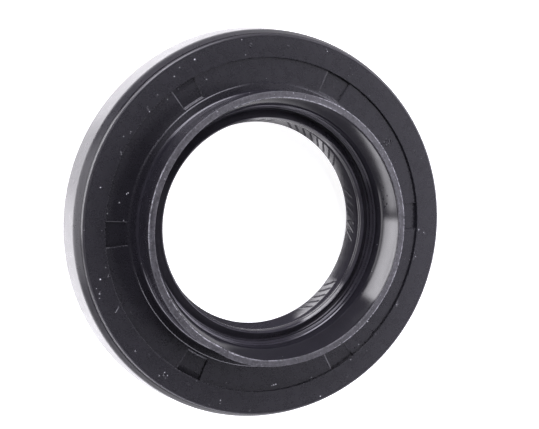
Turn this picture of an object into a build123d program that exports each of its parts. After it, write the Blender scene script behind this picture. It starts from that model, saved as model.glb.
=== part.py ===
from build123d import *
import math
import os

# Radial shaft seal, rubber-covered outside, for a 35 mm shaft in a 65 mm
# housing bore.  All sizes in millimetres.
#
# Frame: the seal lies on its oil-side (back) face.  Origin at the centre of
# that face, +Z along the seal axis towards the air side, where the collar is.
# Azimuth 0 is +X; the six pads on the face are counted from it.

os.makedirs("parts", exist_ok=True)

# ---------------------------------------------------------------- dimensions
SHAFT_D = 35.0            # shaft the seal runs on
BORE_D = 65.0             # housing bore it is pressed into
BODY_W = 9.0              # body width, back face to front face
TOTAL_W = 15.5            # with the collar

# outside of the rubber
OD_R = BORE_D / 2
LAND_Z0 = 0.95            # pressed land on the outside diameter
LAND_Z1 = 6.03
BACK_EDGE_R = 31.90       # rear lead-in ends here on the back face
FRONT_EDGE_R = 31.88      # sharp corner of front lead-in and face
FRONT_EDGE_FILLET = 0.80
LAND_FRONT_FILLET = 2.0

# front face
STEP_R = 27.88            # outer band of the face ends here
STEP_H = 0.35             # depth of the inner band
BASE_R = 23.70            # raised foot ring of the collar
BASE_H = 0.15
PAD_COUNT = 6
PAD_START = 2.1           # azimuth of the first pad's middle, degrees
PAD_ANGLE = 9.2           # width of a pad, degrees
PAD_R0 = 24.15
PAD_DEPTH = 0.28          # below the inner band

# collar (axial outer dust lip)
COLLAR_FOOT_R = 22.15
COLLAR_FOOT_FILLET = 0.45
RIM_OUT_R = 22.80
RIM_OUT_Z = 15.22
RIM_IN_R = 21.60
COLLAR_THROAT_R = 20.07   # inside, at the foot
COLLAR_LEDGE_Z = 9.20
LEDGE_R = 19.54           # lower ledge inside the collar

# dust lip
DUST_TOP_R = 18.00
DUST_TOP_Z = 8.92
DUST_EDGE_R = 17.50
DUST_EDGE_Z = 7.70

# main lip
LIP_R = 16.92             # free radius of the sealing edge, 0.58 mm interference
LIP_Z0 = 4.05             # short land of the sealing edge
LIP_Z1 = 4.33
AIR_ANGLE = 25.0          # air-side cone, degrees from the axis
OIL_ANGLE = 47.0          # oil-side cone
GAP_ROOT_R = 18.20        # root of the notch between the lips

# garter spring
GROOVE_CENTRE_R = 19.80
GROOVE_R = 0.95
SPRING_Z = 4.40
COIL_R = 0.92             # outside radius of the coil
SPRING_R = GROOVE_CENTRE_R - GROOVE_R + COIL_R + 0.004   # pulled down onto the groove

# steel case: one stamped L-section ring
CASE_OUT_R = 31.20
CASE_T = 1.00
CASE_Z0 = 0.30            # back edge of the cylindrical leg
FLANGE_Z1 = 7.85          # front face of the flange
CASE_BEND_R = 2.00
FLANGE_R = 21.30          # hole in the flange
SKIRT_R = 22.60           # rubber overlap behind the flange


# ------------------------------------------------------------------ helpers
def section(points):
    """Closed face in the XZ plane.  Each point is (r, z) or (r, z, fillet)."""
    n = len(points)
    corners = []
    for i, p in enumerate(points):
        x, z = p[0], p[1]
        f = p[2] if len(p) > 2 else 0.0
        if f <= 0:
            corners.append([(x, z)])
            continue
        ax, az = points[i - 1][0], points[i - 1][1]
        bx, bz = points[(i + 1) % n][0], points[(i + 1) % n][1]
        ux, uz = ax - x, az - z
        vx, vz = bx - x, bz - z
        lu, lv = math.hypot(ux, uz), math.hypot(vx, vz)
        ux, uz, vx, vz = ux / lu, uz / lu, vx / lv, vz / lv
        half = math.acos(max(-1.0, min(1.0, ux * vx + uz * vz))) / 2
        t = f / math.tan(half)
        bis_x, bis_z = ux + vx, uz + vz
        lb = math.hypot(bis_x, bis_z)
        cx = x + bis_x / lb * f / math.sin(half)
        cz = z + bis_z / lb * f / math.sin(half)
        mx, mz = cx - bis_x / lb * f, cz - bis_z / lb * f
        corners.append([(x + ux * t, z + uz * t), (mx, mz), (x + vx * t, z + vz * t)])
    edges = []
    for i in range(n):
        c = corners[i]
        nxt = corners[(i + 1) % n]
        if len(c) == 3:
            edges.append(ThreePointArc((c[0][0], 0, c[0][1]), (c[1][0], 0, c[1][1]), (c[2][0], 0, c[2][1])))
        a, b = c[-1], nxt[0]
        if math.hypot(a[0] - b[0], a[1] - b[1]) > 1e-6:
            edges.append(Line((a[0], 0, a[1]), (b[0], 0, b[1])))
    return Face(Wire(edges))


def ring(points):
    return Solid.revolve(section(points), 360, Axis.Z)


def arc_points(cx, cz, r, a0, a1, steps):
    return [(cx + r * math.cos(math.radians(a0 + (a1 - a0) * k / steps)),
             cz + r * math.sin(math.radians(a0 + (a1 - a0) * k / steps))) for k in range(steps + 1)]


# --------------------------------------------------------------- steel case
case_mid = CASE_OUT_R - CASE_T
steel_case = ring([
    (CASE_OUT_R, CASE_Z0),
    (CASE_OUT_R, FLANGE_Z1, CASE_BEND_R),
    (FLANGE_R, FLANGE_Z1),
    (FLANGE_R, FLANGE_Z1 - CASE_T),
    (case_mid, FLANGE_Z1 - CASE_T, CASE_BEND_R - CASE_T),
    (case_mid, CASE_Z0),
])

# ------------------------------------------------------------ rubber moulding
face_z = BODY_W
band_z = BODY_W - STEP_H
base_z = band_z + BASE_H


def air_cone(z):
    return LIP_R + (z - LIP_Z1) * math.tan(math.radians(AIR_ANGLE))


gap_root_z = LIP_Z1 + (GAP_ROOT_R - LIP_R) / math.tan(math.radians(AIR_ANGLE))
nose_z = 2.55
nose_r = LIP_R + (LIP_Z0 - 2.75) * math.tan(math.radians(OIL_ANGLE))

outline = [
    # back face and outside diameter
    (CASE_OUT_R, 0.0),
    (BACK_EDGE_R, 0.0, 0.15),
    (OD_R, LAND_Z0, 0.8),
    (OD_R, LAND_Z1, LAND_FRONT_FILLET),
    (FRONT_EDGE_R, face_z, FRONT_EDGE_FILLET),
    # face: outer band, step, inner band, foot ring of the collar
    (STEP_R, face_z, 0.08),
    (STEP_R, band_z, 0.08),
    (BASE_R, band_z),
    (BASE_R - 0.10, base_z, 0.08),
    (COLLAR_FOOT_R, base_z + 0.02, COLLAR_FOOT_FILLET),
    # collar outside, flaring to the cut rim
    (22.22, 12.00, 6.0),
    (RIM_OUT_R, RIM_OUT_Z, 0.05),
    (RIM_IN_R, TOTAL_W, 0.05),
    # collar inside, a bell that closes to a cylindrical throat
    (20.22, 11.65, 4.5),
    (COLLAR_THROAT_R, COLLAR_LEDGE_Z, 0.12),
    # two small ledges, then the moat around the dust lip
    (19.84, COLLAR_LEDGE_Z - 0.08, 0.08),
    (19.80, COLLAR_LEDGE_Z - 0.68, 0.06),
    (LEDGE_R, COLLAR_LEDGE_Z - 0.72, 0.10),
    (19.32, 7.78, 0.30),
    # dust lip
    (DUST_TOP_R, DUST_TOP_Z, 0.12),
    (17.70, 8.28),
    (DUST_EDGE_R, DUST_EDGE_Z, 0.03),
    (GAP_ROOT_R, gap_root_z, 0.14),
    # main lip: air-side cone, sealing edge, oil-side cone, nose
    (LIP_R, LIP_Z1),
    (LIP_R, LIP_Z0),
    (nose_r, 2.75, 0.30),
    (nose_r + 0.55, nose_z, 0.30),
    (19.95, nose_z, 0.30),
    (20.18, 2.95, 0.20),
]
# spring groove, open outwards
outline += arc_points(GROOVE_CENTRE_R, SPRING_Z, GROOVE_R, -64, -262, 24)
outline += [
    (19.02, 5.95, 0.45),
    (19.70, 6.34, 0.40),
    (SKIRT_R - 0.15, 6.40, 0.15),
    (SKIRT_R, FLANGE_Z1 - CASE_T),
    # bonded faces against the steel case
    (FLANGE_R, FLANGE_Z1 - CASE_T),
    (FLANGE_R, FLANGE_Z1),
    (CASE_OUT_R, FLANGE_Z1, CASE_BEND_R),
]
rubber = ring(outline)

# six shallow pads sunk into the inner band of the face
pad_floor = band_z - PAD_DEPTH
for k in range(PAD_COUNT):
    mid = PAD_START + 360.0 * k / PAD_COUNT
    cutter = Solid.revolve(
        Face(Wire([
            Line((PAD_R0, 0, pad_floor), (STEP_R, 0, pad_floor)),
            Line((STEP_R, 0, pad_floor), (STEP_R, 0, band_z + 0.2)),
            Line((STEP_R, 0, band_z + 0.2), (PAD_R0, 0, band_z + 0.2)),
            Line((PAD_R0, 0, band_z + 0.2), (PAD_R0, 0, pad_floor)),
        ])),
        PAD_ANGLE, Axis.Z).rotate(Axis.Z, mid - PAD_ANGLE / 2)
    rubber = rubber - cutter
rubber_body = rubber

# -------------------------------------------------------------- garter spring
# Closed ring of fine wire; the solid is the envelope of its coil.
garter_spring = Solid.make_torus(SPRING_R, COIL_R, Plane.XY.offset(SPRING_Z))

# --------------------------------------------------------------------- write
for name, shape in (("rubber_body", rubber_body), ("steel_case", steel_case), ("garter_spring", garter_spring)):
    if hasattr(shape, "solids"):
        sol = shape.solids()
        if len(sol) == 1:
            shape = sol[0]
    shape.label = name
    export_step(shape, f"parts/{name}.step")
    bb = shape.bounding_box()
    print(name, "volume %.1f mm3" % shape.volume, "box", [round(v, 3) for v in (*bb.min, *bb.max)])
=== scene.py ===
import math

import bpy
import numpy as np
from mathutils import Matrix

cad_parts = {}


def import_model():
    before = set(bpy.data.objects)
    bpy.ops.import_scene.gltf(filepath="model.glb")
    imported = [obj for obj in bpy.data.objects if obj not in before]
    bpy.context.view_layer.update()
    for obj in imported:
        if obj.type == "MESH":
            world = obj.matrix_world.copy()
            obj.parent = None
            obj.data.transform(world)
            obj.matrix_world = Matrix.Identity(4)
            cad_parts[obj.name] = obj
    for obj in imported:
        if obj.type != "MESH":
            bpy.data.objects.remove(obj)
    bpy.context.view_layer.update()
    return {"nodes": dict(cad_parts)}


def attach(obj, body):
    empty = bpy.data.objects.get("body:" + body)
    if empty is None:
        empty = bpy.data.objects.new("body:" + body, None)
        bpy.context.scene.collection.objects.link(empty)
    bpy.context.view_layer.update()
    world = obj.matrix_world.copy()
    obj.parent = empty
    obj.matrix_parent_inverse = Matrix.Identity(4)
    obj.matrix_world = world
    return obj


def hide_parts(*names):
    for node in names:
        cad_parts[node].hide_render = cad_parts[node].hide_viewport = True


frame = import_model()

MM = 0.001
scene = bpy.context.scene

# ---------------------------------------------------------------------------
# Section of the moulded rubber, in millimetres: (r, z, fillet, zone, rows).
# zone and rows belong to the straight run that starts at the point.
# ---------------------------------------------------------------------------

SHAFT_LIP_R = 16.92
LIP_Z0, LIP_Z1 = 4.05, 4.33
FACE_Z, BAND_Z, BASE_Z = 9.00, 8.65, 8.80
GAP_ROOT_R = 18.42
GAP_ROOT_Z = 7.12
NOSE_R = SHAFT_LIP_R + (LIP_Z0 - 2.75) * math.tan(math.radians(47.0))
GROOVE_R, GROOVE_AT_R, SPRING_Z = 0.95, 19.80, 4.40
RIM_TOP = 15.485
COIL_R = 0.92
SPRING_R = GROOVE_AT_R - GROOVE_R + COIL_R + 0.004


def arc_points(cr, cz, radius, start, end, steps):
    out = []
    for k in range(steps + 1):
        a = math.radians(start + (end - start) * k / steps)
        out.append((cr + radius * math.cos(a), cz + radius * math.sin(a)))
    return out


def bell_curve():
    """The collar's inner wall from the rim down: a trumpet, steep at the foot and flaring to the rim."""
    zs = np.concatenate([np.linspace(15.23, 12.3, 7), np.linspace(12.3, 10.2, 11)[1:]])
    fine = np.linspace(15.23, 10.2, 600)
    t = np.clip((fine - 10.2) / 2.1, 0, 1)
    slope = np.where(fine > 12.3, 0.33 + 0.09 * (fine - 12.3) / 2.93, 0.02 + 0.31 * t * t * (3 - 2 * t))
    fall = np.concatenate([[0], np.cumsum((slope[1:] + slope[:-1]) / 2 * -np.diff(fine))])
    return [(21.625 - float(np.interp(-z, -fine, fall)), float(z)) for z in zs]


def cone_r(z):
    """The air side of the main lip: a shade steeper at the edge than at the root."""
    h = z - LIP_Z1
    return SHAFT_LIP_R + 0.436 * h + 0.0145 * h * h


OUTLINE = [
    (31.20, 0.00, 0, "od", 0),
    (31.90, 0.00, 0.15, "od", 1),
    (32.50, 0.95, 0.80, "od", 3),
    (32.50, 6.45, 5.30, "od", 3),
    (31.94, 8.54, 3.00, "edge", 1),
    (31.706, FACE_Z, 0.22, "face", 5),
    (27.88, FACE_Z, 0.10, "step", 0),
    (27.88, BAND_Z, 0.03, "band", 0),
    (27.83, BAND_Z, 0, "band", 0),
    (27.79, BAND_Z, 0, "band", 0),
    (27.74, BAND_Z, 0, "band", 0),
    (27.70, BAND_Z, 0, "band", 0),
    (27.64, BAND_Z, 0, "band", 3),
    (24.40, BAND_Z, 0, "band", 0),
    (24.32, BAND_Z, 0, "band", 0),
    (24.25, BAND_Z, 0, "band", 0),
    (24.20, BAND_Z, 0, "band", 0),
    (24.17, BAND_Z, 0, "band", 0),
    (24.15, BAND_Z, 0, "band", 0),
    (24.13, BAND_Z, 0, "band", 0),
    (24.09, BAND_Z, 0, "band", 0),
    (24.04, BAND_Z, 0, "band", 0),
    (23.74, BAND_Z, 0, "foot", 0),
    (23.70, BAND_Z, 0, "foot", 0),
    (23.60, BASE_Z, 0.08, "foot", 1),
    (22.15, BASE_Z + 0.02, 0.45, "collar", 3),
    (22.22, 12.00, 6.0, "collar", 2),
    (22.62, 14.72, 0, "rim", 1),
    (22.70, 15.13, 0, "burr", 0),
    (22.715, 15.225, 0.06, "burr", 1),
    (22.58, 15.258, 0, "rim", 7),
    (21.82, 15.446, 0, "burr", 0),
    (21.775, 15.458, 0, "burr", 0),
    (21.73, 15.464, 0, "burr", 0),
    (21.69, 15.452, 0, "burr", 0),
    (21.655, 15.40, 0, "burr", 0),
    *[(r, z, 0, "bell", 0) for r, z in bell_curve()],
    (20.06, 9.20, 0.14, "ledge", 0),
    (19.84, 9.10, 0.10, "ledge", 0),
    (19.80, 8.52, 0.07, "ledge", 0),
    (19.52, 8.46, 0.17, "ledge", 1),
    (19.46, 7.90, 0.10, "ledge", 1),
    (19.26, 7.72, 0.20, "ledge", 1),
    (18.05, 8.95, 0.12, "ledge", 1),
    (17.74, 8.355, 0.05, "ledge", 0),
    (17.71, 8.07, 0.02, "ledge", 0),
    (17.635, 7.925, 0.03, "ledge", 0),
    (17.60, 7.60, 0.03, "ledge", 1),
    (GAP_ROOT_R, GAP_ROOT_Z, 0.14, "ledge", 3),
    *[(cone_r(z), z, 0, "cone", 0) for z in np.linspace(6.05, LIP_Z1 + 0.05, 22)],
    (SHAFT_LIP_R, LIP_Z1, 0.03, "lip", 0),
    (SHAFT_LIP_R, LIP_Z0, 0.03, "lip", 2),
    (NOSE_R, 2.75, 0.30, "lip", 0),
    (NOSE_R + 0.55, 2.55, 0.30, "lip", 1),
    (19.95, 2.55, 0.30, "lip", 0),
    (20.18, 2.95, 0.20, "lip", 0),
]
OUTLINE += [(r, z, 0, "lip", 0) for r, z in arc_points(GROOVE_AT_R, SPRING_Z, GROOVE_R, -64, -262, 16)]
OUTLINE += [
    (19.02, 5.95, 0.45, "lip", 0),
    (19.70, 6.34, 0.40, "lip", 2),
    (22.45, 6.40, 0.15, "hid", 0),
    (22.60, 6.85, 0, "hid", 0),
    (21.30, 6.85, 0, "hid", 0),
    (21.30, 7.85, 0, "hid", 1),
    (31.20, 7.85, 2.0, "hid", 1),
]


def section(outline):
    """Rows (r, z, zone) round the section, with every fillet sampled and support rows beside it."""
    n = len(outline)
    rows = []
    ends = []
    for k in range(n):
        p = np.array(outline[k][:2])
        a = np.array(outline[k - 1][:2]) - p
        b = np.array(outline[(k + 1) % n][:2]) - p
        la, lb = np.linalg.norm(a), np.linalg.norm(b)
        a, b = a / la, b / lb
        rad = outline[k][2]
        turn = math.pi - math.acos(float(np.clip(a @ b, -1, 1)))
        if rad <= 0 or turn < 1e-4:
            ends.append([p])
            continue
        cut = rad * math.tan(turn / 2)
        t0, t1 = p + a * cut, p + b * cut
        bis = (a + b) / np.linalg.norm(a + b)
        centre = p + bis * (rad / math.cos(turn / 2))
        step = 20 if outline[k][3] in ("ledge", "lip") else 14
        steps = max(3, int(math.ceil(math.degrees(turn) / (step if rad < 1.5 else 5))))
        if rad >= 4:
            steps = max(4, int(math.ceil(math.degrees(turn) / 2.0)))
        a0 = math.atan2(*(t0 - centre)[::-1])
        a1 = math.atan2(*(t1 - centre)[::-1])
        d = (a1 - a0 + math.pi) % (2 * math.pi) - math.pi
        pts = [
            centre + rad * np.array([math.cos(a0 + d * i / steps), math.sin(a0 + d * i / steps)])
            for i in range(steps + 1)
        ]
        ends.append(pts)
    for k in range(n):
        zone, cuts = outline[k][3], outline[k][4]
        for p in ends[k]:
            rows.append((float(p[0]), float(p[1]), zone))
        p0, p1 = ends[k][-1], ends[(k + 1) % n][0]
        length = float(np.linalg.norm(p1 - p0))
        marks = []
        if cuts:
            marks = [(i + 1) / (cuts + 1) for i in range(cuts)]
            near = min(0.05, 0.2 * length / (cuts + 1))
            if len(ends[k]) > 1 and zone not in ("rim", "burr"):
                marks.append(near / length)
            if len(ends[(k + 1) % n]) > 1 and zone not in ("rim", "burr"):
                marks.append(1 - near / length)
        for m in sorted(marks):
            p = p0 + (p1 - p0) * m
            rows.append((float(p[0]), float(p[1]), zone))
    out = []
    for r in rows:
        if out and math.hypot(out[-1][0] - r[0], out[-1][1] - r[1]) < 1e-5:
            continue
        out.append(r)
    return out


ROWS = section(OUTLINE)

# ---------------------------------------------------------------------------
# Where things sit round the axis, in degrees
# ---------------------------------------------------------------------------

PADS = [2.1 + 60 * k for k in range(6)]
PAD_HALF = 4.6
PAD_DEPTH = 0.28
EDGE = [  # distance outside the pad's edge in mm, share of the depth
    (0.13, 0.0), (0.06, 0.0), (0.02, 0.05), (0.0, 0.25), (-0.02, 0.85), (-0.05, 0.97), (-0.10, 1.0), (-0.17, 1.0),
]

# Feed ribs on the air side of the main lip: middle azimuth and lean, in groups
# that lean both ways in turn.
RIBS = []
for first, count, lean in (
    (-57.0, 5, 1), (-8.0, 6, -1), (36.5, 8, 1), (83.0, 6, -1),
    (125.0, 7, 1), (171.0, 6, -1), (214.0, 7, 1), (255.5, 6, -1),
):
    for k in range(count):
        RIBS.append((first + 4.85 * k, lean))
RIB_Z = (4.42, 5.95)
RIB_RUN = 6.2            # degrees of azimuth from one end to the other
RIB_H, RIB_W = 0.045, 0.080


# Where the cutter left a torn edge on the rim: from, to, fading over 8 degrees
BURR_IN = [(62, 112), (196, 272)]
BURR_OUT = [(-62, 72), (150, 190)]


FOOT_CRISP = [(100, 148), (202, 262)]


def in_ranges(phi, ranges, fade=8):
    out = np.zeros_like(phi)
    for a, b in ranges:
        mid, half = (a + b) / 2, (b - a) / 2
        d = np.abs((phi - mid + 180) % 360 - 180)
        out = np.maximum(out, np.clip((half + fade / 2 - d) / fade, 0, 1))
    return out


def uniform(n):
    return np.arange(n) * 360.0 / n


def with_lines(base, extra, keep):
    """base azimuths plus extra ones, less any base one closer than keep to an extra one."""
    extra = np.array(sorted(e % 360 for e in extra))
    d = np.abs((base[:, None] - extra[None, :] + 180) % 360 - 180).min(1)
    return np.array(sorted(np.concatenate([base[d > keep], extra])))


pad_lines = []
for c in PADS:
    for side in (-1, 1):
        for out, _ in EDGE:
            pad_lines.append(c + side * (PAD_HALF + out / (26.0 * math.pi / 180)))

rib_line_list = []
base = uniform(120)
dense = []
for m, _ in RIBS:
    dense += [m - RIB_RUN / 2 - 0.9 + 0.25 * i for i in range(int((RIB_RUN + 1.8) / 0.25) + 1)]
dense = np.unique(np.round(np.array(dense) % 360 * 4) / 4)
ZONE_AZ = {
    "od": uniform(180),
    "edge": uniform(180),
    "face": uniform(180),
    "step": with_lines(uniform(120), pad_lines, 0.12),
    "band": with_lines(uniform(120), pad_lines, 0.12),
    "foot": uniform(180),
    "collar": uniform(180),
    "rim": uniform(900),
    "burr": uniform(900),
    "bell": uniform(180),
    "ledge": uniform(180),
    "cone": with_lines(base, dense % 360, 0.1),
    "lip": uniform(144),
    "hid": uniform(120),
}


# ---------------------------------------------------------------------------
# Small repeatable noise for the mesh
# ---------------------------------------------------------------------------

rng = np.random.default_rng(20)


def ring_noise(phi_deg, freqs, seed):
    """A smooth closed curve of azimuth with rms about 1, from a band of whole frequencies."""
    r = np.random.default_rng(seed)
    out = np.zeros_like(phi_deg)
    for f in freqs:
        out += r.normal() * np.cos(np.radians(phi_deg) * f + r.uniform(0, 2 * math.pi))
    return out / math.sqrt(len(freqs) / 2)


def bump_table(phi, table):
    """Sum of smooth local swellings: (azimuth, half width, height)."""
    out = np.zeros_like(phi)
    for c, w, h in table:
        d = (phi - c + 180) % 360 - 180
        out += h * np.exp(-((d / w) ** 2))
    return out


def pad_share(phi):
    xs = [-e[0] for e in EDGE]
    ys = [e[1] for e in EDGE]
    out = np.zeros_like(phi)
    for c in PADS:
        d = np.abs((phi - c + 180) % 360 - 180)
        inside = (PAD_HALF - d) * 26.0 * math.pi / 180
        out = np.maximum(out, np.interp(inside, xs, ys, left=0, right=1))
    return out


def rib_height(phi, z, r):
    out = np.zeros_like(phi)
    t = (z - RIB_Z[0]) / (RIB_Z[1] - RIB_Z[0])
    fade = np.clip(min(t, 1 - t) / 0.10, 0, 1)
    if fade <= 0:
        return out
    per = math.radians(1) * r
    slant = (RIB_Z[1] - RIB_Z[0]) / math.cos(math.radians(25))
    sin_g = slant / math.hypot(slant, RIB_RUN * per)
    for m, lean in RIBS:
        line = m + lean * (t - 0.5) * RIB_RUN
        d = np.abs((phi - line + 180) % 360 - 180) * per * sin_g
        out = np.maximum(out, np.clip(1 - (d / RIB_W) ** 2, 0, 1) ** 1.2)
    return out * fade * RIB_H


def ring(row, phi, n_out):
    r0, z0, zone = row
    r = np.full_like(phi, r0)
    z = np.full_like(phi, z0)
    nr, nz = n_out
    if zone in ("band", "step") and z0 < 8.78 and r0 < 27.9:
        # the inner edge of a pad is rounded, its other edges are crisp
        share = float(np.clip((r0 - 24.03) / 0.24, 0, 1))
        share = share * share * (3 - 2 * share)
        z = z - PAD_DEPTH * share * pad_share(phi)
        # a thin gap runs along the outer wall of three of the pads
        gap = float(np.interp(r0, [27.69, 27.745, 27.835, 27.86], [0, 1, 1, 0]))
        z = z - 0.15 * gap * pad_share(phi) * in_ranges(phi, [(100, 260)])
    # the step round the collar's foot is crisp in two stretches and washed out elsewhere
    if zone == "foot" and r0 > 23.69:
        r = r + 0.26 * (1 - in_ranges(phi, FOOT_CRISP, 14))
    # the collar is cut by hand at the top and not quite round there
    if zone in ("collar", "rim", "burr", "bell"):
        t = float(np.clip((z0 - 10.5) / 4.5, 0, 1)) ** 2
        wave = bump_table(phi, [(242, 5, -0.13), (264, 9, 0.12), (205, 12, 0.04), (95, 14, 0.05), (320, 20, -0.04)])
        wave = wave + 0.018 * ring_noise(phi, range(3, 15), 5)
        r = r + wave * t
    if zone in ("rim", "burr"):
        torn = np.maximum(in_ranges(phi, BURR_IN) if r0 < 22.2 else in_ranges(phi, BURR_OUT), 0.25)
        if zone == "rim":
            torn = np.ones_like(phi)
        grain = 0.007 * ring_noise(phi, range(90, 540, 5), int(r0 * 1000) + int(z0 * 977))
        chew = 0.010 * ring_noise(phi, range(25, 140, 2), 77 + int(r0 * 3))
        r = r + nr * (grain + chew) * torn
        z = z + nz * (grain + chew) * torn - 0.012
        # a torn edge of flash stands up along the inside, and a finer one along the outside
        inner = math.exp(-((r0 - 21.72) / 0.055) ** 2) if z0 > 15.3 else 0.0
        outer = math.exp(-((r0 - 22.69) / 0.06) ** 2) if z0 > 15.1 else 0.0
        if inner > 0.02 or outer > 0.02:
            tear = np.clip(0.5 + 0.8 * ring_noise(phi, range(40, 260, 3), 31), 0, 2)
            z = z + inner * tear * (0.010 + 0.05 * in_ranges(phi, BURR_IN))
            r = r - inner * tear * 0.02 * in_ranges(phi, BURR_IN)
            tear = np.clip(0.4 + 0.7 * ring_noise(phi, range(50, 280, 3), 32), 0, 2)
            z = z + outer * tear * 0.035 * in_ranges(phi, BURR_OUT)
        z = np.minimum(z, RIM_TOP)
    if zone == "cone":
        h = rib_height(phi, z0, r0)
        r = r + nr * h
        z = z + nz * h
    return r, z


def normals_of(rows):
    n = len(rows)
    out = []
    for k in range(n):
        a, b = rows[k - 1], rows[(k + 1) % n]
        dr, dz = b[0] - a[0], b[1] - a[1]
        length = math.hypot(dr, dz) or 1
        out.append((dz / length, -dr / length))
    return out


def stitch(lo, hi, lo_az, hi_az):
    """Triangles and quads between two closed rings of vertex numbers."""
    faces = []
    n, m = len(lo), len(hi)
    if n == m and np.allclose(lo_az, hi_az):
        for j in range(n):
            k = (j + 1) % n
            faces.append((lo[j], lo[k], hi[k], hi[j]))
        return faces
    i = j = 0
    while i < n or j < m:
        next_lo = lo_az[i + 1] if i + 1 < n else 360.0 + lo_az[0] if i < n else 1e9
        next_hi = hi_az[j + 1] if j + 1 < m else 360.0 + hi_az[0] if j < m else 1e9
        if i < n and (next_lo <= next_hi or j >= m):
            faces.append((lo[i % n], lo[(i + 1) % n], hi[j % m]))
            i += 1
        else:
            faces.append((lo[i % n], hi[(j + 1) % m], hi[j % m]))
            j += 1
    return faces


def make_mesh(name, verts, faces, slots=None, sharp=None):
    mesh = bpy.data.meshes.new(name)
    mesh.from_pydata([tuple(v) for v in verts], [], faces)
    mesh.update()
    mesh.validate()
    mesh.shade_smooth()
    if slots is not None:
        mesh.polygons.foreach_set("material_index", np.array(slots, np.int32))
    if sharp:
        mesh.set_sharp_from_angle(angle=math.radians(sharp))
    obj = bpy.data.objects.new(name, mesh)
    scene.collection.objects.link(obj)
    return obj


MAT_OF_ZONE = {
    "od": 2, "edge": 7, "face": 0, "step": 0, "band": 0, "foot": 0, "collar": 4, "rim": 3, "burr": 5,
    "bell": 1, "ledge": 8, "cone": 6, "lip": 6, "hid": 0,
}


def build_rubber():
    norms = normals_of(ROWS)
    verts, faces, slots = [], [], []
    rings = []
    for row, nrm in zip(ROWS, norms):
        az = ZONE_AZ[row[2]]
        r, z = ring(row, az, nrm)
        a = np.radians(az)
        start = len(verts)
        verts.extend(np.stack([r * np.cos(a), r * np.sin(a), z], -1) * MM)
        rings.append((list(range(start, start + len(az))), az, row[2]))
    for k in range(len(rings)):
        lo, hi = rings[k], rings[(k + 1) % len(rings)]
        made = stitch(lo[0], hi[0], lo[1], hi[1])
        faces += made
        slots += [MAT_OF_ZONE[lo[2]]] * len(made)
    return make_mesh("moulded_rubber", verts, faces, slots)


# ---------------------------------------------------------------------------
# Garter spring: a closed ring of close-wound wire
# ---------------------------------------------------------------------------

def build_spring():
    wire = 0.175
    mean = COIL_R - wire
    turns = 340
    per_turn, around = 14, 6
    n = turns * per_turn
    t = np.arange(n) / n
    big = 2 * math.pi * t
    small = 2 * math.pi * t * turns
    er = np.stack([np.cos(big), np.sin(big), np.zeros(n)], -1)
    ez = np.array([0.0, 0.0, 1.0])
    et = np.stack([-np.sin(big), np.cos(big), np.zeros(n)], -1)
    out = np.cos(small)[:, None] * er + np.sin(small)[:, None] * ez
    centre = (SPRING_R * er) + mean * out + np.array([0, 0, SPRING_Z])
    tan = np.roll(centre, -1, 0) - np.roll(centre, 1, 0)
    tan /= np.linalg.norm(tan, axis=1)[:, None]
    side = np.cross(tan, out)
    side /= np.linalg.norm(side, axis=1)[:, None]
    up = np.cross(side, tan)
    verts = []
    for k in range(around):
        a = 2 * math.pi * k / around
        verts.append(centre + wire * (math.cos(a) * up + math.sin(a) * side))
    verts = np.stack(verts, 1).reshape(-1, 3) * MM
    faces = []
    for i in range(n):
        i2 = (i + 1) % n
        for k in range(around):
            k2 = (k + 1) % around
            faces.append((i * around + k, i * around + k2, i2 * around + k2, i2 * around + k))
    return make_mesh("coil_spring", verts, faces)


# ---------------------------------------------------------------------------
# Materials
# ---------------------------------------------------------------------------

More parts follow.
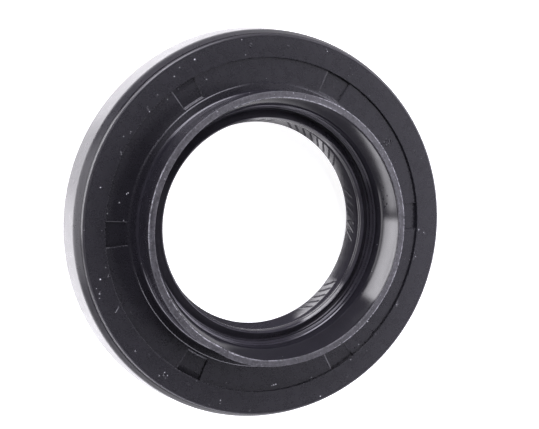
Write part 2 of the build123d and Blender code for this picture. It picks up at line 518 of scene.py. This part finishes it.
class Nodes:
    def __init__(self, name):
        self.mat = bpy.data.materials.new(name)
        self.mat.use_nodes = True
        self.tree = self.mat.node_tree
        self.tree.nodes.clear()
        self.out = self.tree.nodes.new("ShaderNodeOutputMaterial")
        self.bsdf = self.tree.nodes.new("ShaderNodeBsdfPrincipled")
        self.tree.links.new(self.bsdf.outputs[0], self.out.inputs[0])
        self.coord = self.tree.nodes.new("ShaderNodeTexCoord")
        self.pos = self.coord.outputs["Object"]

    def link(self, a, b):
        self.tree.links.new(a, b)

    def put(self, value, socket):
        if hasattr(value, "is_output"):
            self.link(value, socket)
        else:
            socket.default_value = value

    def noise(self, scale, detail=2.0, rough=0.5, vector=None, out="Fac"):
        n = self.tree.nodes.new("ShaderNodeTexNoise")
        n.inputs["Scale"].default_value = scale
        n.inputs["Detail"].default_value = detail
        n.inputs["Roughness"].default_value = rough
        self.link(vector or self.pos, n.inputs["Vector"])
        return n.outputs[out]

    def voronoi(self, scale, feature="F1", vector=None, out="Distance", randomness=1.0):
        n = self.tree.nodes.new("ShaderNodeTexVoronoi")
        n.feature = feature
        n.inputs["Scale"].default_value = scale
        n.inputs["Randomness"].default_value = randomness
        self.link(vector or self.pos, n.inputs["Vector"])
        return n.outputs[out]

    def math(self, op, a, b=0.0, c=0.0, clamp=False):
        n = self.tree.nodes.new("ShaderNodeMath")
        n.operation = op
        n.use_clamp = clamp
        self.put(a, n.inputs[0])
        self.put(b, n.inputs[1])
        self.put(c, n.inputs[2])
        return n.outputs[0]

    def span(self, value, f0, f1, t0=0.0, t1=1.0):
        n = self.tree.nodes.new("ShaderNodeMapRange")
        n.inputs["From Min"].default_value = f0
        n.inputs["From Max"].default_value = f1
        n.inputs["To Min"].default_value = t0
        n.inputs["To Max"].default_value = t1
        self.link(value, n.inputs["Value"])
        return n.outputs["Result"]

    def mix(self, fac, a, b):
        n = self.tree.nodes.new("ShaderNodeMix")
        n.data_type = "RGBA"
        self.put(fac, n.inputs[0])
        self.put(a, n.inputs[6])
        self.put(b, n.inputs[7])
        return n.outputs[2]

    def bump(self, height, strength, distance, normal=None):
        n = self.tree.nodes.new("ShaderNodeBump")
        n.inputs["Strength"].default_value = strength
        n.inputs["Distance"].default_value = distance
        self.link(height, n.inputs["Height"])
        if normal is not None:
            self.link(normal, n.inputs["Normal"])
        return n.outputs["Normal"]

    def polar(self):
        """(radius, azimuth in radians, height) of the point, as sockets."""
        s = self.tree.nodes.new("ShaderNodeSeparateXYZ")
        self.link(self.pos, s.inputs[0])
        x, y, z = s.outputs
        rr = self.math("SQRT", self.math("ADD", self.math("MULTIPLY", x, x), self.math("MULTIPLY", y, y)))
        return rr, self.math("ARCTAN2", y, x), z

    def combine(self, x, y, z):
        c = self.tree.nodes.new("ShaderNodeCombineXYZ")
        for v, s in zip((x, y, z), c.inputs):
            self.put(v, s)
        return c.outputs[0]


def rgba(r, g, b):
    return (r, g, b, 1.0)


def place(azimuth, r, z):
    """A point in metres from its azimuth in degrees and its radius and height in millimetres."""
    a = math.radians(azimuth)
    return (r * math.cos(a) * MM, r * math.sin(a) * MM, z * MM)


def spots(n, points, edge=1.25, full=0.65):
    """How far inside the nearest of some small round spots a point is, 0 to 1. A spot is
    (azimuth, r, z, radius in mm, strength)."""
    total = None
    for azimuth, r, z, size, strength in points:
        d = n.tree.nodes.new("ShaderNodeVectorMath")
        d.operation = "DISTANCE"
        n.link(n.pos, d.inputs[0])
        d.inputs[1].default_value = place(azimuth, r, z)
        m = n.span(d.outputs["Value"], size * MM * edge, size * MM * full, 0.0, strength)
        total = m if total is None else n.math("MAXIMUM", total, m)
    return total


def dust(n, amount=1.0, scales=((650.0, 0.050, 0.90), (1300.0, 0.060, 0.93))):
    """Fine lint and talc, two sizes, sparse and at random: a mask."""
    total = None
    for scale, size, keep in scales:
        d = n.voronoi(scale)
        pick = n.tree.nodes.new("ShaderNodeSeparateColor")
        n.link(n.voronoi(scale, out="Color"), pick.inputs[0])
        chosen = n.math("GREATER_THAN", pick.outputs[0], keep)
        spot = n.span(d, size * 1.4, size * 0.7)
        mask = n.math("MULTIPLY", n.math("MULTIPLY", spot, chosen), amount, clamp=True)
        total = mask if total is None else n.math("MAXIMUM", total, mask)
    return total


# Grains of dirt and nicks that lie on the face, apart from the fine dust: (azimuth, r, size, strength)
FACE_SPECKS = [
    (166.4, 24.65, 0.10, 1.0), (166.9, 24.88, 0.09, 0.9), (196.0, 29.8, 0.12, 1.0), (290.3, 31.1, 0.11, 0.9),
    (115.1, 30.45, 0.12, 0.95), (275.9, 27.0, 0.10, 0.8), (275.1, 27.06, 0.09, 0.8), (274.4, 27.12, 0.08, 0.6),
    (166.7, 29.65, 0.11, 0.85), (170.5, 25.8, 0.10, 0.75), (98.7, 31.2, 0.10, 0.5), (174.8, 27.6, 0.10, 0.5),
    (148.9, 29.2, 0.10, 0.5), (234.3, 29.55, 0.11, 0.5), (235.7, 29.7, 0.09, 0.4), (233.5, 30.45, 0.09, 0.4),
    (200.2, 30.65, 0.11, 0.5), (357.3, 28.3, 0.10, 0.5), (319.0, 25.6, 0.12, 0.7), (330.2, 28.2, 0.11, 0.5),
    (113.7, 26.5, 0.10, 0.5), (69.7, 30.8, 0.10, 0.4), (137.2, 28.1, 0.10, 0.5), (177.0, 24.7, 0.09, 0.5),
    (198.3, 30.85, 0.09, 0.4), (305.0, 28.25, 0.10, 0.4), (120.6, 30.5, 0.09, 0.4), (123.5, 29.75, 0.11, 0.5),
    (356.4, 29.25, 0.09, 0.35), (201.5, 30.9, 0.09, 0.35), (256.0, 30.0, 0.10, 0.4), (348.0, 28.4, 0.09, 0.35),
    (129.6, 27.3, 0.09, 0.4), (310.7, 27.25, 0.09, 0.4), (98.0, 28.6, 0.08, 0.35), (222.0, 30.2, 0.09, 0.3),
    (207.9, 29.35, 0.055, 0.6), (207.8, 29.2, 0.06, 0.7), (207.6, 29.05, 0.06, 0.7), (207.4, 28.9, 0.06, 0.7),
    (207.2, 28.75, 0.06, 0.7), (207.0, 28.6, 0.055, 0.6), (206.8, 28.45, 0.05, 0.5),
]
# Small pits and pimples in the moulding, which only show by how they catch the light: (azimuth, r, size, strength)
FACE_PITS = [
    (131.5, 29.0, 0.14, 1.0), (136.6, 28.8, 0.13, 1.0), (137.0, 28.4, 0.12, 0.9), (146.5, 28.45, 0.15, 1.0),
    (154.0, 28.1, 0.15, 0.9), (153.7, 28.35, 0.11, 0.8), (113.6, 26.45, 0.13, 1.0), (114.2, 26.9, 0.10, 0.8),
    (95.6, 30.2, 0.13, 0.9), (95.9, 29.8, 0.11, 0.8), (165.2, 27.4, 0.10, 0.7), (173.4, 27.6, 0.10, 0.8),
    (195.8, 28.25, 0.14, 0.9), (330.2, 28.4, 0.16, 1.0), (331.2, 28.15, 0.12, 0.9), (313.0, 27.85, 0.15, 1.0),
    (317.6, 27.5, 0.16, 1.0), (304.6, 27.6, 0.16, 1.0), (309.0, 27.0, 0.14, 0.8), (297.0, 26.9, 0.12, 0.9),
    (301.2, 30.3, 0.12, 0.7), (347.2, 28.25, 0.13, 0.8), (346.6, 26.75, 0.11, 0.7), (356.2, 29.5, 0.11, 0.8),
    (83.0, 29.95, 0.12, 0.8), (70.2, 31.0, 0.11, 0.7), (233.4, 30.4, 0.14, 1.0), (234.6, 29.9, 0.14, 1.0),
    (235.6, 30.15, 0.11, 0.8), (243.7, 29.1, 0.11, 0.8), (200.0, 30.45, 0.13, 0.9), (256.2, 30.4, 0.12, 0.8),
    (256.0, 29.8, 0.12, 0.8), (222.2, 30.1, 0.12, 0.7), (266.4, 31.0, 0.13, 0.8), (286.0, 27.9, 0.10, 0.6),
    (24.0, 29.6, 0.10, 0.5), (49.0, 28.3, 0.10, 0.5), (60.0, 30.0, 0.10, 0.5), (211.0, 27.0, 0.09, 0.5),
]
# The mould's mark: a small ring of pimples on the inner band
FACE_PITS += [(31.3 + math.degrees(0.50 * math.cos(t) / 26.0), 26.0 + 0.50 * math.sin(t), 0.15, 1.0)
              for t in (0.3, 1.5, 2.8, 3.9, 5.2)]
FACE_PITS += [(30.6, 26.75, 0.10, 0.8), (32.4, 24.9, 0.10, 0.7)]
BELL_PITS = [
    (8.5, 20.47, 12.5, 0.16, 1.0), (10.0, 20.62, 13.0, 0.14, 1.0), (12.0, 20.47, 12.5, 0.15, 1.0),
    (14.0, 20.75, 13.4, 0.13, 0.9), (16.5, 20.42, 12.3, 0.14, 1.0), (18.0, 20.62, 13.0, 0.12, 0.8),
    (6.0, 20.62, 13.0, 0.12, 0.7), (20.5, 20.47, 12.5, 0.11, 0.6),
]
BELL_SPECKS = [
    (350.0, 20.05, 10.6, 0.12, 1.0), (337.0, 20.17, 11.4, 0.11, 0.8), (40.3, 20.5, 12.6, 0.10, 0.6),
    (49.4, 20.03, 9.45, 0.08, 0.7), (258.0, 21.3, 14.6, 0.09, 0.6), (253.0, 21.25, 14.45, 0.08, 0.6),
    (64.0, 21.05, 14.1, 0.07, 0.4), (325.2, 21.3, 14.8, 0.08, 0.5), (287.7, 20.14, 11.3, 0.07, 0.35),
    (307.8, 20.04, 10.4, 0.07, 0.35), (342.6, 20.3, 11.9, 0.08, 0.5), (8.3, 20.4, 12.2, 0.07, 0.35),
    (11.6, 20.3, 11.9, 0.06, 0.3), (17.8, 20.35, 12.1, 0.06, 0.3),
]


def rubber(name, dark, light, rough, grain=0.10, dust_amount=0.8, spec=0.5, specks=None, drag=0.0,
           paler_bands_and_highlights=(), gloss=(), pits=None):
    """Black rubber. The paler bands: where it goes paler, as (axis, from, to, amount, how much paler); a narrow band
    along an edge fillet is a painted highlight. And gloss:
    where it gets smoother, as (axis, from, to, amount); the axis is r or z, in millimetres."""
    n = Nodes(name)
    rr, az, z = n.polar()
    along = {"r": rr, "z": z}
    blotch = n.noise(330.0, 3.0, 0.55)
    fine = n.noise(5200.0, 3.0, 0.6)
    colour = n.mix(n.span(blotch, 0.3, 0.7), rgba(*dark), rgba(*light))
    colour = n.mix(n.math("MULTIPLY", n.span(fine, 0.45, 0.8), 0.35), colour, rgba(*(c * 1.9 for c in light)))
    for axis, a, b, amount, paler in paler_bands_and_highlights:
        colour = n.mix(n.span(along[axis], a * MM, b * MM, 0.0, amount), colour, rgba(*(light[1] * paler * k for k in (1.02, 1.0, 1.05))))
    dirt = dust(n, dust_amount)
    colour = n.mix(dirt, colour, rgba(0.30, 0.30, 0.31))
    height = dirt
    if specks:
        s = spots(n, specks)
        colour = n.mix(s, colour, rgba(0.66, 0.66, 0.68))
        height = n.math("MAXIMUM", dirt, s)
    n.link(colour, n.bsdf.inputs["Base Color"])
    r = n.math("ADD", n.span(n.noise(700.0, 3.0, 0.6), 0.3, 0.7, rough - 0.012, rough + 0.020),
               n.span(fine, 0.3, 0.7, -0.010, 0.015))
    for axis, a, b, amount in gloss:
        r = n.math("SUBTRACT", r, n.span(along[axis], a * MM, b * MM, 0.0, amount))
    r = n.math("ADD", r, n.math("MULTIPLY", height, 0.4), clamp=True)
    n.link(r, n.bsdf.inputs["Roughness"])
    n.bsdf.inputs["IOR"].default_value = 1.5
    n.bsdf.inputs["Specular IOR Level"].default_value = spec
    b = n.bump(n.noise(6000.0, 2.0, 0.5), grain, 0.00003)
    b = n.bump(n.noise(900.0, 2.0, 0.5), 0.05, 0.00006, b)
    if drag:
        v = n.combine(rr, n.math("MULTIPLY", az, 0.0016), z)
        b = n.bump(n.noise(3800.0, 3.0, 0.6, vector=v), drag, 0.00004, b)
    b = n.bump(height, 0.7, 0.00003, b)
    if pits:
        b = n.bump(spots(n, pits, 1.6, 0.1), 1.0, 0.00024, b)
    n.link(b, n.bsdf.inputs["Normal"])
    return n


# The face goes a little paler from r 29 to 31 mm. The narrow paler band at r 31.42–31.54 is a painted highlight
# along the edge fillet.
rubber_face = rubber("rubber_face", (0.0078, 0.0074, 0.0095), (0.0102, 0.0096, 0.0123), 0.27, 0.07,
                     specks=[(a, r, FACE_Z if r > 27.88 else BAND_Z, s, k) for a, r, s, k in FACE_SPECKS],
                     pits=[(a, r, FACE_Z if r > 27.88 else BAND_Z, s, k) for a, r, s, k in FACE_PITS],
                     paler_bands_and_highlights=[("r", 29.0, 31.0, 0.07, 4.0), ("r", 31.42, 31.54, 0.6, 5.0)],
                     gloss=[("r", 31.25, 31.45, 0.04)])
rubber_polish = rubber("rubber_polished", (0.0115, 0.0108, 0.0138), (0.0150, 0.0141, 0.0178), 0.12, 0.05,
                       dust_amount=0.5, specks=BELL_SPECKS, pits=BELL_PITS)
# Painted light: the rubber of the well and ledges is paler than the rest, to lift the shade in the recess.
rubber_well_painted_light = rubber("rubber_well_painted_light", (0.0230, 0.0216, 0.0262), (0.0310, 0.0292, 0.0350), 0.10, 0.08, dust_amount=0.5)
rubber_od = rubber("rubber_outside", (0.0120, 0.0112, 0.0150), (0.0160, 0.0150, 0.0195), 0.28, 0.15, dust_amount=0.3)
rubber_collar = rubber("rubber_collar", (0.0120, 0.0113, 0.0142), (0.0180, 0.0170, 0.0212), 0.25, 0.12, drag=0.35,
                       gloss=[("z", 9.7, 9.25, 0.11)])
# The paler band at z 8.50–8.70 is a painted highlight along the edge fillet.
rubber_edge = rubber("rubber_edge", (0.0100, 0.0094, 0.0122), (0.0135, 0.0127, 0.0162), 0.17, 0.10, dust_amount=0.6,
                     paler_bands_and_highlights=[("z", 8.50, 8.70, 0.6, 4.5)], gloss=[("z", 8.45, 8.65, -0.04)])
rubber_lip = rubber("rubber_lip", (0.0200, 0.0188, 0.0230), (0.0270, 0.0254, 0.0310), 0.11, 0.12, dust_amount=0.4)


def cut_rubber(name, burr=False):
    """The collar's rim, where the flash was cut off: paler, matt and torn. Its two edges are whitened
    where the cutter tore them."""
    n = Nodes(name)
    rr, az, z = n.polar()
    v = n.combine(rr, n.math("MULTIPLY", az, 0.0035), z)
    across = n.combine(n.math("MULTIPLY", rr, 0.4), n.math("MULTIPLY", az, 0.022), z)
    tear = n.noise(2600.0, 4.0, 0.70)
    drag = n.noise(2400.0, 3.0, 0.65, vector=v)
    comb = n.noise(2900.0, 3.0, 0.65, vector=across)
    f = n.math("ADD", n.math("MULTIPLY", tear, 0.40), n.math("MULTIPLY", drag, 0.30))
    f = n.math("ADD", f, n.math("MULTIPLY", comb, 0.30))
    colour = n.mix(n.span(f, 0.40, 0.60), rgba(0.009, 0.0086, 0.0098), rgba(0.060, 0.0585, 0.063))
    grit = n.span(n.voronoi(2700.0), 0.30, 0.12)
    grit = n.math("MULTIPLY", grit, n.span(n.noise(1500.0, 2.0, 0.6), 0.50, 0.62), clamp=True)
    colour = n.mix(n.math("MULTIPLY", grit, 0.6), colour, rgba(0.26, 0.26, 0.265))
    if burr:
        nick = n.span(n.noise(2300.0, 2.0, 0.6), 0.36, 0.62)
        degrees = n.math("MULTIPLY", az, 180 / math.pi)
        inner = n.span(rr, 0.02182, 0.02174)
        outer = n.math("GREATER_THAN", rr, 0.0222)
        where = 0.12
        for ranges, side in ((BURR_IN, inner), (BURR_OUT, outer)):
            for a, b in ranges:
                mid, half = (a + b) / 2, (b - a) / 2
                away = n.math("ABSOLUTE", n.math("WRAP", n.math("SUBTRACT", degrees, mid), 180.0, -180.0))
                m = n.math("MULTIPLY", n.span(away, half + 4, half - 4), side)
                where = n.math("MAXIMUM", where, m)
        white = n.math("MULTIPLY", nick, where, clamp=True)
        colour = n.mix(white, colour, rgba(0.34, 0.34, 0.355))
    colour = n.mix(dust(n, 1.0, ((900.0, 0.060, 0.80), (1900.0, 0.075, 0.84))), colour, rgba(0.34, 0.34, 0.35))
    n.link(colour, n.bsdf.inputs["Base Color"])
    n.link(n.span(tear, 0.3, 0.7, 0.40, 0.70), n.bsdf.inputs["Roughness"])
    n.bsdf.inputs["IOR"].default_value = 1.5
    b = n.bump(n.noise(4600.0, 3.0, 0.65), 0.8, 0.00005)
    b = n.bump(drag, 0.5, 0.00006, b)
    n.link(b, n.bsdf.inputs["Normal"])
    return n


rubber_rim = cut_rubber("rubber_cut")
rubber_burr = cut_rubber("rubber_torn", burr=True)


def steel(name, dark, light, rough, streak=True):
    n = Nodes(name)
    rr, az, z = n.polar()
    v = n.combine(n.math("MULTIPLY", rr, 1.0), n.math("MULTIPLY", az, 0.0012), z)
    lines = n.noise(5200.0, 3.0, 0.6, vector=v)
    cloud = n.noise(260.0, 4.0, 0.6)
    f = n.math("ADD", n.math("MULTIPLY", lines, 0.5), n.math("MULTIPLY", cloud, 0.5))
    n.link(n.mix(n.span(f, 0.35, 0.65), rgba(*dark), rgba(*light)), n.bsdf.inputs["Base Color"])
    n.bsdf.inputs["Metallic"].default_value = 1.0
    n.link(n.span(f, 0.3, 0.7, rough + 0.08, rough - 0.05), n.bsdf.inputs["Roughness"])
    n.link(n.bump(lines, 0.12, 0.00002), n.bsdf.inputs["Normal"])
    return n


case_steel = steel("case_steel", (0.20, 0.195, 0.185), (0.36, 0.35, 0.335), 0.40)
spring_steel = steel("spring_steel", (0.42, 0.41, 0.40), (0.62, 0.61, 0.59), 0.26)

# ---------------------------------------------------------------------------
# Pieces
# ---------------------------------------------------------------------------

body = build_rubber()
for m in (rubber_face, rubber_polish, rubber_od, rubber_rim, rubber_collar, rubber_burr, rubber_lip, rubber_edge,
          rubber_well_painted_light):
    body.data.materials.append(m.mat)
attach(body, "root")
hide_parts("rubber_body")

coil = build_spring()
coil.data.materials.append(spring_steel.mat)
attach(coil, "root")
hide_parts("garter_spring")

case = frame["nodes"]["steel_case"]
case.data.materials.clear()
case.data.materials.append(case_steel.mat)

# ---------------------------------------------------------------------------
# Floor
# ---------------------------------------------------------------------------

def build_floor():
    n = 24
    xs = np.linspace(-3.0, 3.0, n)
    verts = [(x, y, 0.0) for y in xs for x in xs]
    faces = [(j * n + i, j * n + i + 1, (j + 1) * n + i + 1, (j + 1) * n + i)
             for j in range(n - 1) for i in range(n - 1)]
    floor = make_mesh("studio_floor", verts, faces)
    f = Nodes("studio_floor")
    f.link(f.mix(f.noise(40.0, 2.0), rgba(0.84, 0.84, 0.85), rgba(0.87, 0.87, 0.875)), f.bsdf.inputs["Base Color"])
    f.bsdf.inputs["Roughness"].default_value = 0.9
    f.bsdf.inputs["Specular IOR Level"].default_value = 0.1
    f.bsdf.inputs["Emission Color"].default_value = rgba(1.0, 1.0, 1.0)
    f.bsdf.inputs["Emission Strength"].default_value = 0.85
    floor.data.materials.append(f.mat)
    floor.visible_glossy = False
    floor.visible_diffuse = False
    floor.visible_shadow = False
    return floor


floor = build_floor()

# ---------------------------------------------------------------------------
# Camera: 23 degrees off the axis, leaning towards azimuth 164.7
# ---------------------------------------------------------------------------

def camera_basis():
    th, ps = math.radians(23.02), math.radians(-15.30)
    n = np.array([math.sin(th) * math.cos(ps), math.sin(th) * math.sin(ps), math.cos(th)])
    e1 = np.array([math.cos(th) * math.cos(ps), math.cos(th) * math.sin(ps), -math.sin(th)])
    e2 = np.cross(n, e1)
    x = math.cos(-ps) * e1 + math.sin(-ps) * e2
    y = math.cos(math.pi / 2 - ps) * e1 + math.sin(math.pi / 2 - ps) * e2
    return np.stack([x, y, n], 1)          # columns: world axes seen by the camera


M = camera_basis()
OFFSET = np.array([-0.841, -1.814, -500.0]) * MM
face_centre = np.array([0.0, 0.0, 9.0]) * MM
eye = face_centre - M.T @ OFFSET
cam_data = bpy.data.cameras.new("camera")
cam_data.sensor_width = 36.0
cam_data.sensor_fit = "HORIZONTAL"
cam_data.lens = 3011.0 / 539.0 * 36.0
cam_data.clip_start, cam_data.clip_end = 0.01, 20.0
cam = bpy.data.objects.new("camera", cam_data)
scene.collection.objects.link(cam)
mw = Matrix([[*M.T[i], eye[i]] for i in range(3)] + [[0, 0, 0, 1]])
cam.matrix_world = mw
scene.camera = cam

# ---------------------------------------------------------------------------
# Light
# ---------------------------------------------------------------------------

# The studio round the part, as soft-edged panels on a far sphere, each given by
# (azimuth, half width, tilt from, tilt to, soft edge in azimuth, soft edge in tilt at either end, radiance,
# colour, lean: degrees of tilt for each degree of azimuth).
# The floor is a light table: what shines from under it reaches the part through it.
UPPER = (1.03, 1.0, 1.15)
LOWER = (1.02, 1.0, 1.05)
PANELS = [
    ("key_top", 102, 15, 18.0, 62.0, 8, 18.0, 6.0, 8.5, UPPER, 0),
    ("key_side", 105, 21, 62.0, 93.0, 8, 6.0, 6.0, 8.0, UPPER, 0),
    ("fill_right", 1, 22, 31.5, 60.0, 12, 5.0, 8.0, 6.1, UPPER, 0),
    ("side_right", 25, 26, 60.0, 86.0, 10, 6.0, 6.0, 4.2, UPPER, 0),
    ("side_rear", 308, 20, 60.0, 86.0, 10, 6.0, 6.0, 2.5, UPPER, 0),
    ("side_left", 250, 36, 62.0, 95.0, 10, 8.0, 6.0, 6.2, UPPER, 0),
    ("strip_top", 117, 20, 101.0, 110.5, 6, 3.0, 3.0, 8.5, LOWER, 0),
    ("strip_main", 163.8, 27, 109.0, 119.5, 5, 2.5, 12.0, 8.8, LOWER, 0),
    ("strip_low", 226, 30, 112.5, 118.5, 10, 3.0, 4.0, 5.2, LOWER, 0.05),
    ("strip_back", 277, 28, 117.5, 124.5, 8, 5.0, 4.0, 1.9, LOWER, 0.30),
    ("below_main", 181, 31, 126.0, 150.0, 12, 6.0, 6.0, 1.4, LOWER, 0),
    ("below_ring", 352, 132, 136.0, 152.0, 16, 8.0, 4.0, 0.6, LOWER, 0),
    ("table_ring", 336, 156, 153.5, 162.0, 8, 3.0, 5.0, 2.7, LOWER, 0),
    ("table", 165, 180, 161.0, 181.0, 0.1, 4.0, 4.0, 5.4, LOWER, 0),
]
AMBIENT = 0.08


def world():
    w = bpy.data.worlds.new("studio")
    scene.world = w
    w.use_nodes = True
    t = w.node_tree
    t.nodes.clear()

    def put(value, socket):
        if hasattr(value, "is_output"):
            t.links.new(value, socket)
        else:
            socket.default_value = value

    def calc(op, a, b=0.0, c=0.0):
        n = t.nodes.new("ShaderNodeMath")
        n.operation = op
        for v, s in zip((a, b, c), n.inputs):
            put(v, s)
        return n.outputs[0]

    def smooth(value, f0, f1):
        n = t.nodes.new("ShaderNodeMapRange")
        n.interpolation_type = "SMOOTHSTEP"
        put(value, n.inputs["Value"])
        n.inputs["From Min"].default_value = f0
        n.inputs["From Max"].default_value = f1
        n.inputs["To Min"].default_value = 0.0
        n.inputs["To Max"].default_value = 1.0
        return n.outputs["Result"]

    co = t.nodes.new("ShaderNodeTexCoord")
    xyz = t.nodes.new("ShaderNodeSeparateXYZ")
    t.links.new(co.outputs["Generated"], xyz.inputs[0])
    x, y, z = xyz.outputs
    tilt = calc("MULTIPLY", calc("ARCCOSINE", z), 180 / math.pi)
    azimuth = calc("MULTIPLY", calc("ARCTAN2", y, x), 180 / math.pi)
    total = None
    for name, az, half, t0, t1, sa, s0, s1, radiance, colour, lean in PANELS:
        beside = calc("WRAP", calc("SUBTRACT", azimuth, az), 180.0, -180.0)
        away = calc("ABSOLUTE", beside)
        along = calc("SUBTRACT", tilt, calc("MULTIPLY", beside, lean)) if lean else tilt
        m = calc("MULTIPLY", smooth(along, t0 - s0 / 2, t0 + s0 / 2),
                 calc("SUBTRACT", 1.0, smooth(along, t1 - s1 / 2, t1 + s1 / 2)))
        m = calc("MULTIPLY", m, calc("SUBTRACT", 1.0, smooth(away, half - sa / 2, half + sa / 2)))
        n = t.nodes.new("ShaderNodeVectorMath")
        n.operation = "SCALE"
        n.inputs[0].default_value = tuple(c * radiance for c in colour)
        t.links.new(m, n.inputs["Scale"])
        if total is None:
            total = n.outputs[0]
        else:
            s = t.nodes.new("ShaderNodeVectorMath")
            s.operation = "ADD"
            t.links.new(total, s.inputs[0])
            t.links.new(n.outputs[0], s.inputs[1])
            total = s.outputs[0]
    s = t.nodes.new("ShaderNodeVectorMath")
    s.operation = "ADD"
    t.links.new(total, s.inputs[0])
    s.inputs[1].default_value = (AMBIENT, AMBIENT, AMBIENT)
    out = t.nodes.new("ShaderNodeOutputWorld")
    seen = t.nodes.new("ShaderNodeBackground")
    seen.inputs["Color"].default_value = (1, 1, 1, 1)
    seen.inputs["Strength"].default_value = 1.0
    lit = t.nodes.new("ShaderNodeBackground")
    t.links.new(s.outputs[0], lit.inputs["Color"])
    lit.inputs["Strength"].default_value = 1.0
    path = t.nodes.new("ShaderNodeLightPath")
    mix = t.nodes.new("ShaderNodeMixShader")
    t.links.new(path.outputs["Is Camera Ray"], mix.inputs[0])
    t.links.new(lit.outputs[0], mix.inputs[1])
    t.links.new(seen.outputs[0], mix.inputs[2])
    t.links.new(mix.outputs[0], out.inputs[0])


world()

scene.view_settings.view_transform = "Standard"
scene.view_settings.look = "None"
scene.view_settings.exposure = 0.0
scene.view_settings.gamma = 1.0

tri = sum(len(p.vertices) - 2 for p in body.data.polygons)
print("rubber triangles", tri, "rows", len(ROWS), "spring triangles", 2 * len(coil.data.polygons))
